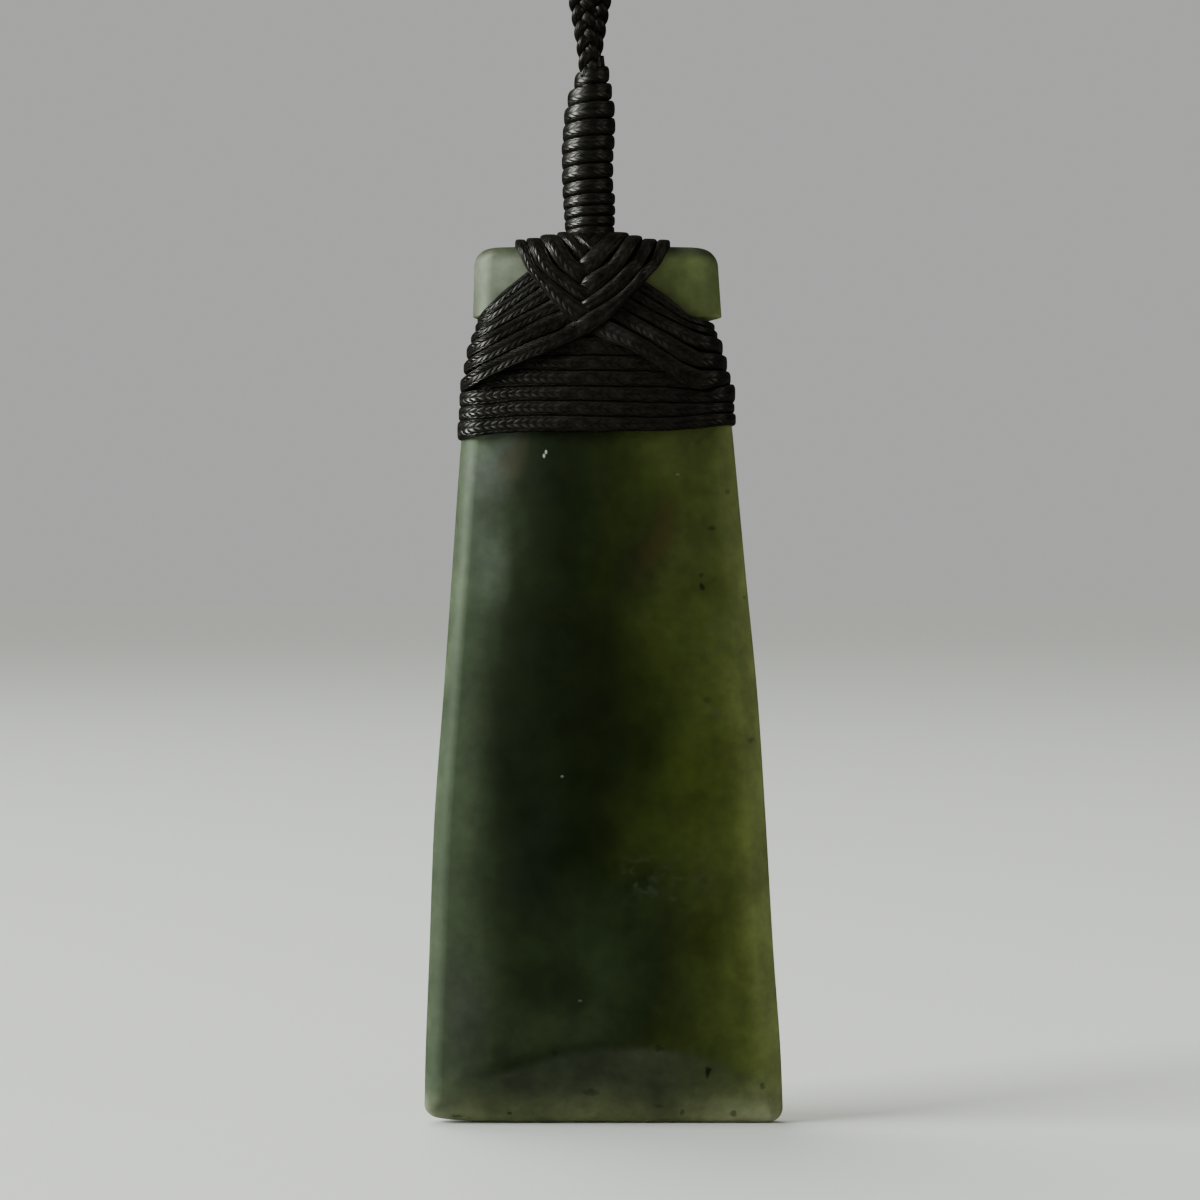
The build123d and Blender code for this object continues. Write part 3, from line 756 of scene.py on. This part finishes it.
right_seams = [
    [(514.5, 241), (519.8, 256.4), (536, 281.4), (553.4, 302), (570.7, 319.3), (586, 331), (611, 342.4),
     (628.7, 349), (652.4, 362.2), (673, 376), (689, 386.9), (713.7, 390), (733, 385)],
    [(526.3, 239), (530, 248.9), (536, 264), (557.7, 283.5), (580, 300.5), (597, 311.5), (611, 319.7),
     (632.6, 331), (659.3, 346.8), (686, 363.2), (711.7, 372.5), (729.5, 372)],
    [(541.5, 239), (551.2, 258.6), (567.5, 274.9), (580, 283.5), (600, 296), (624.7, 308.8), (649.4, 323.1),
     (679, 339.4), (706.8, 354.3), (726, 356)],
    [(556, 237), (570.7, 254.3), (582, 263), (600, 278), (620, 291), (642.5, 304.8), (663.3, 315.7),
     (684, 325.6), (711.7, 338.9), (721, 340)],
    [(569, 233), (584.8, 250), (600, 262), (618, 275.5), (639.5, 290.5), (663.3, 305.8), (693.9, 324.1),
     (711, 330), (717.5, 331)],
    [(581, 232), (598, 247), (616, 261), (638, 276), (659.3, 290), (679, 305.5), (693.9, 318.7),
     (711, 323), (716, 324.5)],
]
wrap_top_row, wrap_full_row, head_bend_row, shank_column = 316, 348, 262, 590
bump_flat, bump_end, under_flat, under_end, over_rise = 7, 24, 3, 12, 0.66
near_column, far_column, pile_row, pile_end_row, pile_rise = 18, 70, 244, 270, 0.9
head_clear, head_pile, head_power, head_samples = 0.35, 0.80, 2.8, 60
seam_samples, crossed_lift, least_width, cords_in_frame = 240, 0.03, 8, 5
CrossedCord = namedtuple("CrossedCord", "number columns rows widths")


def between(outer, inner):
    """A cord's middle line and width, from the seams on its two sides: both seams are followed at the same
    shares of their lengths, and the width is their gap, square to the line."""
    lines = []
    for seam in (np.array(outer, float), np.array(inner, float)):
        run = run_along(seam)
        lines.append(smooth_through(np.linspace(0, 1, seam_samples), run / run[-1], seam))
    middle, gap = (lines[0] + lines[1]) / 2, lines[0] - lines[1]
    heading = unit(np.gradient(middle, axis=0))
    return middle[:, 0], middle[:, 1], np.abs(gap[:, 0] * heading[:, 1] - gap[:, 1] * heading[:, 0])


def near_shank(cord):
    """1 for a cord that passes the head's edge beside the shank, and 0 for the outer ones."""
    return 1 - ease(np.abs(cord.columns[0] - shank_column), near_column, far_column)


def layers_under(cord, others, goes_over):
    """How many cords lie under each sample of a cord: one over the wraps, and one where it passes over a
    cord of the other family, flat over the crossing and eased off on both sides, and none where it passes
    under one. Near the shank the cords ride up on each other over the head's edge."""
    run = run_along(np.stack([cord.columns, cord.rows], -1))
    over, held_down = 0 * run, 1 + 0 * run
    for other in others:
        gap = np.hypot(cord.columns[:, None] - other.columns, cord.rows[:, None] - other.rows)
        from_crossing = np.abs(run - run[gap.min(axis=1).argmin()])
        if goes_over(cord.number, other.number):
            over = np.maximum(over, over_rise * (1 - ease(from_crossing, bump_flat, bump_end)))
        else:
            held_down = np.minimum(held_down, ease(from_crossing, under_flat, under_end))
    layers = np.maximum(over * held_down, ease(cord.rows, wrap_top_row, wrap_full_row))
    return np.maximum(layers, pile_rise * near_shank(cord) * (1 - ease(cord.rows, pile_row, pile_end_row)))


def over_the_head(from_x, from_y, from_z, top_x, top_z, width):
    """The turn over the head's top edge, back to front: a superellipse seen from the side."""
    up, back = superellipse(np.linspace(pi / 2, -pi / 2, head_samples), head_power)
    return columns_joined(
        from_x + (top_x - from_x) * up, -from_y * back, from_z + (top_z - from_z) * up, 0, back, up, width
    )


falling_left, falling_right = (
    [CrossedCord(len(seams) - 1 - k, *between(seams[k], seams[k + 1])) for k in range(len(seams) - 1)]
    for seams in (left_seams, right_seams)
)
families = (
    ("left", falling_left, falling_right, lambda number, other: number > other),
    ("right", falling_right, falling_left, lambda number, other: number >= other),
)
for side, family, others, goes_over in families:
    for place, cord in enumerate(family, start=1):
        layers = layers_under(cord, others, goes_over)
        side_column, side_row = cord.columns[-1], cord.rows[-1]
        to_side = (cord.columns - side_column) * np.sign(shank_column - side_column)
        shown = (cord.rows >= head_bend_row) & (to_side >= turn_room)
        front = on_the_face(cord.columns[shown], cord.rows[shown], cord.widths[shown],
                            layers[shown] + crossed_lift)
        side_z = place_of(0, side_row)[1]
        side_width = max(cord.widths[-1], least_width) * pixel * cord_spread
        side_turn = round_the_edge(*front[-1][:3], pressed_in(side_column), side_z, front[-1][6], side_width)
        top_z = head_z + (head_clear + head_pile * near_shank(cord)) * cord_thick
        top_turn = over_the_head(*front[0][:3], place_of(cord.columns[0], 0)[0], top_z, front[0][6])
        route = joined([front, side_turn, mirrored(front), top_turn])
        replaced = [f"falling_{side}_{place}"] if place <= cords_in_frame else []
        bound(braided_cord(f"crossed_{side}_{place}", route), "lashing_cord", *replaced)

# Shank: the cords' ends gathered into a core of seven, and one more cord wound tightly round them. Rows of
# the photo where each turn passes the front, from the foot up, and the whipping's half width and middle.
turn_rows = [241, 230, 219.5, 208.6, 197.5, 184.5, 169, 154.2, 140.8, 125.2, 108, 91, 74, 58]
girth_rows, girth_halves, girth_middles = np.array([
    (57, 13.0, 594.0), (70, 16.5, 593.5), (88, 21.8, 591.0), (105, 25.6, 590.0), (120, 26.2, 589.2),
    (150, 26.3, 587.6), (180, 26.3, 587.5), (200, 26.4, 589.5), (232, 25.0, 589.5),
]).T
first_turn, last_turn, helix_steps, helix_corner = 0.3, 12.8, 64, 3.0
wobble_columns, wobbles_at, wobble_seed = 0.6, np.arange(0, 14, 0.5), 7
narrow_turn, wide_turn = 0.72 * mm, 1.15 * mm
core_rows, core_shape = np.linspace(244, 55, 90), ((55, 5.5), (62, 6.5), (85, 11.0), (232, 11.0), (244, 14.0))
core_twist, core_wide, core_thick, core_step, thin_around = 0.012, 0.62 * mm, 0.56 * mm, 0.2 * mm, 12
outer_ends = 6

turns = np.linspace(first_turn, last_turn, int(helix_steps * last_turn))
angle = 2 * pi * turns - pi / 2
helix_rows = smooth_through(turns, np.arange(len(turn_rows)), turn_rows)
wobble = np.random.default_rng(wobble_seed).uniform(-wobble_columns, wobble_columns, len(wobbles_at))
half_widths = np.interp(helix_rows, girth_rows, girth_halves) + np.interp(turns, wobbles_at, wobble)
radii = half_widths * pixel - cord_thick / 2
helix_x = place_of(np.interp(helix_rows, girth_rows, girth_middles), 0)[0]
helix_z = place_of(0, helix_rows, half_widths * pixel)[1]
helix_width = np.clip(-np.gradient(helix_rows, turns) * pixel * cord_spread, narrow_turn, wide_turn)
whipping_route = columns_joined(
    helix_x + radii * np.cos(angle), radii * np.sin(angle), helix_z,
    np.cos(angle), np.sin(angle), 0, helix_width,
)
winding = braided_cord("shank_winding", whipping_route, closed_along=False, corner=helix_corner)
bound(winding, "lashing_cord", "shank_whipping")


def thin_cord(name, route, thick, around=thin_around, **rings):
    """An open length of cord too thin to show how unevenly it was pulled."""
    return braided_cord(name, route, thick=thick, around=around, relief=0.0, closed_along=False, **rings)


core_reach = np.interp(core_rows, *np.array(core_shape).T)
core_middle = np.interp(core_rows, girth_rows, girth_middles)
core_ends = []
for strand in range(outer_ends + 1):
    angle = 2 * pi * strand / outer_ends + core_twist * (core_rows - core_rows[0])
    reach = core_reach * (strand < outer_ends)
    core_x, core_z = place_of(core_middle + reach * np.cos(angle), core_rows)
    route = columns_joined(
        core_x, reach * pixel * np.sin(angle), core_z, np.cos(angle), np.sin(angle), 0, core_wide
    )
    core_ends.append(thin_cord(f"core_{strand}", route, core_thick, step=core_step))
bound(one_piece("gathered_core", core_ends), "lashing_cord", "shank_core")

# Neck cord: a flat plait of three thin cords on each side, which leave the shank one in front of the other,
# part and run up round the neck to the nape knot. The route is the CAD's, in metres: the right side's points,
# which the left side has turned half round the hanging line.
neck_points = np.array([
    (0.00, 0.42, -273.40), (0.06, 0.82, -271.90), (0.77, 0.81, -267.14), (2.92, 0.60, -258.03),
    (7.97, 0.25, -239.54), (18.50, 0.05, -202.57), (34.51, 0.00, -150.36), (50.52, 0.00, -100.06),
    (59.50, 0.00, -61.99), (57.48, 0.00, -32.90), (43.02, 0.00, -11.01), (21.48, 0.00, 0.60),
    (6.35, 0.00, 2.10), (4.80, 0.00, 2.12),
]) * mm
plait_period, plait_wide, plait_deep, plait_cord = 2.9 * mm, 0.45 * mm, 0.23 * mm, 0.68 * mm
plait_strands, plait_thick, tight_share, tight_run = 3, 0.9 * plait_cord, 0.72, 5 * mm
curve_samples, fine_run, fine_gap, plain_gap = 60, 14 * mm, 0.1 * mm, 0.3 * mm


def smooth_route(points):
    """A curve that follows the points as its handles: between the middles of neighbouring sides it is the
    parabola with the point between them as its corner."""
    middles = (points[1:] + points[:-1]) / 2
    starts = np.concatenate([points[:1], middles[1:-1]])
    ends = np.concatenate([middles[1:-1], points[-1:]])
    t = np.linspace(0, 1, curve_samples, endpoint=False)[None, :, None]
    a, b, c = starts[:, None], points[1:-1][:, None], ends[:, None]
    return np.concatenate([((1 - t) ** 2 * a + 2 * t * (1 - t) * b + t**2 * c).reshape(-1, 3), points[-1:]])


for side, turn_sign in (("right", 1), ("left", -1)):
    route = smooth_route(neck_points * np.array([turn_sign, turn_sign, 1]))
    run = run_along(route)
    at = np.concatenate([np.arange(0, fine_run, fine_gap), np.arange(fine_run, run[-1], plain_gap), run[-1:]])
    middle = sampled(route, run, at)
    forward = unit(np.gradient(middle, axis=0))
    broad = unit(np.cross(forward, np.array([0.0, 1.0, 0.0])))
    deep = np.cross(broad, forward)
    tight = tight_share + (1 - tight_share) * ease(at, 0, tight_run)
    plait = []
    for strand in range(plait_strands):
        phase = 2 * pi * (at / plait_period + strand / plait_strands)
        path = middle + (plait_wide * tight * np.sin(phase))[:, None] * broad
        path = path + (plait_deep * np.sin(2 * phase))[:, None] * deep
        strand_route = columns_joined(*path.T, *deep.T, plait_cord)
        plait.append(thin_cord(f"neck_plait_{side}_{strand}", strand_route, plait_thick, stations=True))
    bound(one_piece(f"neck_plait_{side}", plait), "neck_cord", f"neck_cord_{side}")

# Nape knot: the loop's two ends lie side by side in a barrel of close turns, which is filled and rounded
# over at each end.
knot_low, knot_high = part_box("nape_knot")
knot_radius, knot_middle = (knot_high.z - knot_low.z) / 2, (knot_high.z + knot_low.z) / 2
knot_half, knot_turns, knot_steps, knot_around = (knot_high.x - knot_low.x) / 2, 13, 44, 16
knot_inset, knot_taper, knot_power, knot_wide = 0.40 * mm, 0.16, 6, 0.98 * mm
filling_rings, filling_around, filling_yarns, filling_length = 40, 48, 20, 0.985
filling_sunk, filling_power, filling_least = 0.8, 8, 0.02

angle = np.linspace(0, 2 * pi * knot_turns, knot_steps * knot_turns)
reach = (knot_half - knot_inset) * np.linspace(-1, 1, len(angle))
radii = (knot_radius - plait_cord / 2) * (1 - knot_taper * np.abs(reach / knot_half) ** knot_power)
knot_route = columns_joined(
    reach, radii * np.cos(angle), knot_middle + radii * np.sin(angle),
    0, np.cos(angle), np.sin(angle), knot_wide,
)
winding = thin_cord("nape_winding", knot_route, plait_cord, step=core_step, around=knot_around)
share = np.linspace(-1, 1, filling_rings)[:, None]
angle = np.linspace(0, 2 * pi, filling_around, endpoint=False)[None, :]
rounded = np.sqrt(np.maximum(1 - share**filling_power, filling_least))
radius = (knot_radius - plait_cord * filling_sunk) * rounded
filling_grid = columns_joined(
    knot_half * filling_length * share, radius * np.cos(angle), knot_middle + radius * np.sin(angle)
)
filling_uv = np.meshgrid(np.linspace(0, 1, filling_around + 1), np.linspace(0, filling_yarns, filling_rings))
filling = skin("nape_filling", filling_grid, uv=filling_uv)
bound(one_piece("nape_winding", [winding, filling]), "neck_cord", "nape_knot")

# Floor and light: a pale matt table top, a large soft window on the left, a weaker one on the right and a
# grey room. The camera stands square to the pendant's face, level with the middle of the picture.
floor_reach, floor_gap = 20.0, 0.04 * mm
floor_mesh = bpy.data.meshes.new("table_top")
floor_mesh.from_pydata(
    [(x * floor_reach, y * floor_reach, foot_z - floor_gap) for x, y in ((-1, -1), (1, -1), (1, 1), (-1, 1))],
    [], [(0, 1, 2, 3)],
)
floor = in_scene("table_top", floor_mesh)
floor_paint, floor_tree, floor_shader = new_material("pale_table")
plugged(floor_tree, floor_shader, {"Base Color": (0.74, 0.76, 0.70, 1), "Roughness": 0.6})
floor_mesh.materials.append(floor_paint)
floor.visible_glossy = False

# The room lights the pendant evenly, shows darker in its gloss, and past the table is as pale as the table
room_light, room_in_gloss = (0.122, 0.122, 0.108, 1), (0.045, 0.045, 0.040, 1)
far_table = (0.448, 0.457, 0.444, 1)
world = bpy.data.worlds.new("grey_room")
world.use_nodes = True
tree = world.node_tree
ray = add_node(tree, "ShaderNodeLightPath").outputs
seen = mix_colours(tree, ray["Is Glossy Ray"], room_light, room_in_gloss)
plugged(tree, tree.nodes["Background"], {"Color": mix_colours(tree, ray["Is Camera Ray"], seen, far_table)})
bpy.context.scene.world = world

view_middle = Vector((place_of(picture_middle, 0)[0], 0.0, place_of(0, picture_middle)[1]))


def lamp_object(kind, name, power, tint, towards):
    """A lamp that shines back along a direction, given from what it lights towards the lamp."""
    lamp = bpy.data.lights.new(name, kind)
    lamp.energy, lamp.color = power, tint
    made = in_scene(name, lamp)
    made.rotation_mode = "QUATERNION"
    made.rotation_quaternion = towards.to_track_quat("Z", "Y")
    return made


for name, place, power, tint in (
    ("window", (-0.90, -0.28, 0.10), 24.0, (0.95, 0.99, 1.0)),
    ("room", (0.80, -0.45, 0.10), 1.0, (1.0, 0.97, 0.92)),
):
    lamp = lamp_object("AREA", name, power, tint, Vector(place) - view_middle)
    lamp.location, lamp.data.size = place, 0.60

# Daylight from high behind on the left, soft as from a wide sky, which keeps the table evenly pale
daylight = lamp_object("SUN", "daylight", 2.4, (0.98, 0.99, 1.0), Vector((-0.35, 0.45, 0.80)))
daylight.data.angle = radians(50)
daylight.visible_glossy = False

sensor, picture_width = 36.0, 1200 * pixel
camera_data = bpy.data.cameras.new("camera")
camera_data.sensor_width = sensor
camera_data.lens = sensor * (camera_distance - outline_depth) / picture_width
camera_data.clip_start, camera_data.clip_end = 0.01, 50.0
camera = in_scene("camera", camera_data)
camera.location = view_middle - Vector((0, camera_distance, 0))
camera.rotation_euler = (pi / 2, 0, 0)
bpy.context.scene.camera = camera
